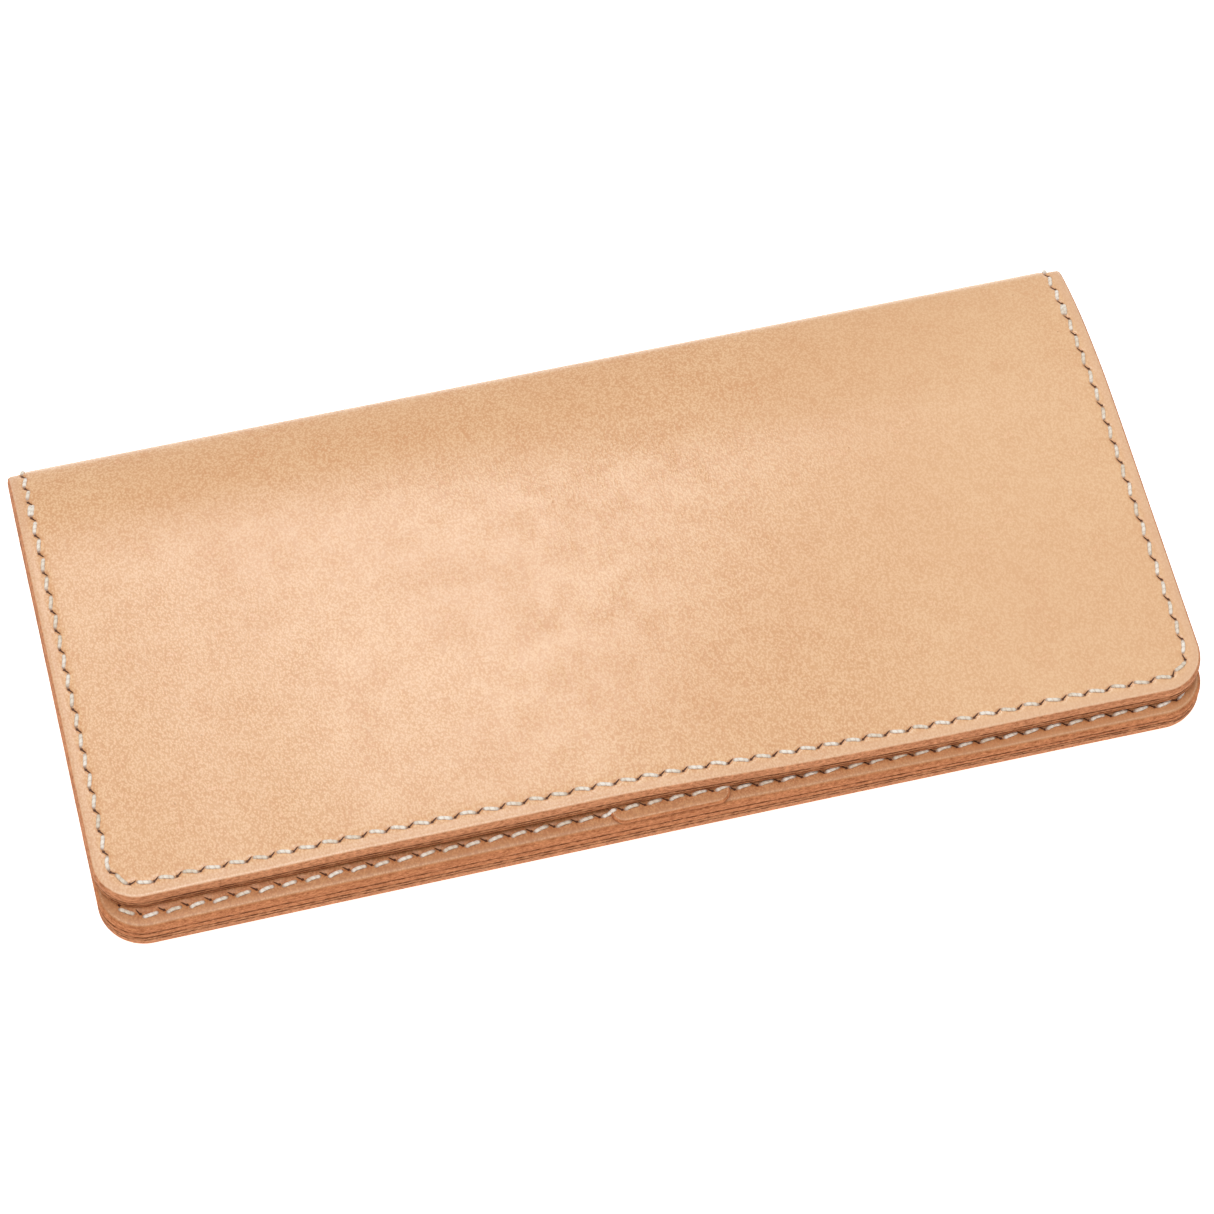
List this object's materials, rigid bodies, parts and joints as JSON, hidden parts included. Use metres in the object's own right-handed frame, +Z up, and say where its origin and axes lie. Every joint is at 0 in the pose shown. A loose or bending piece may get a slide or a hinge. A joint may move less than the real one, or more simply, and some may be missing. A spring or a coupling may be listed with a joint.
{
  "type": "bifold card holder",
  "caption": "Long bifold leather card holder with card slots and note pockets, folded shut along one long edge, with stitched open edges.",
  "frame": {"origin": "on the surface that the closed holder lies on, below the centre of its outline, with its back half down", "axes": "+X along the fold, the longest extent; +Y from the open front edge towards the fold; +Z up, from the back half to the front half, the shortest extent of the closed holder"},
  "size_m": [0.195, 0.0939, 0.0125],
  "materials": {
    "cover_leather": "natural vegetable-tanned grain, satin, burnished edges",
    "pocket_leather": "thinner natural vegetable-tanned grain, satin",
    "lining_leather": "skived natural leather, matt",
    "waxed_thread": "waxed cream linen thread"
  },
  "bodies": {
    "back_half": {"back_cover": "cover_leather", "back_lining": "lining_leather", "note_panel": "pocket_leather", "rear_slot_left": "pocket_leather", "middle_slot_left": "pocket_leather", "card_panel_left": "pocket_leather", "rear_slot_right": "pocket_leather", "middle_slot_right": "pocket_leather", "card_panel_right": "pocket_leather", "centre_strip": "pocket_leather", "back_seam_thread": "waxed_thread"},
    "fold_1": {"fold_strip_1": "cover_leather"},
    "fold_2": {"fold_strip_2": "cover_leather"},
    "front_half": {"front_cover": "cover_leather", "front_lining": "lining_leather", "front_note_panel": "pocket_leather", "front_seam_thread": "waxed_thread"}
  },
  "joints": [
    {"name": "fold_line_1", "type": "hinge", "parent": "back_half", "child": "fold_1", "pos_m": [0, 0.04527, 0.00285], "axis": [-1, 0, 0], "range_deg": [0, 60]},
    {"name": "fold_line_2", "type": "hinge", "parent": "fold_1", "child": "fold_2", "pos_m": [0, 0.047, 0.00625], "axis": [-1, 0, 0], "range_deg": [0, 60]},
    {"name": "cover_opening", "type": "hinge", "parent": "fold_2", "child": "front_half", "pos_m": [0, 0.04527, 0.00965], "axis": [-1, 0, 0], "range_deg": [0, 60]}
  ],
  "couplings": [
    {"joint": "fold_line_1", "follows": "cover_opening", "ratio": 1},
    {"joint": "fold_line_2", "follows": "cover_opening", "ratio": 1}
  ]
}
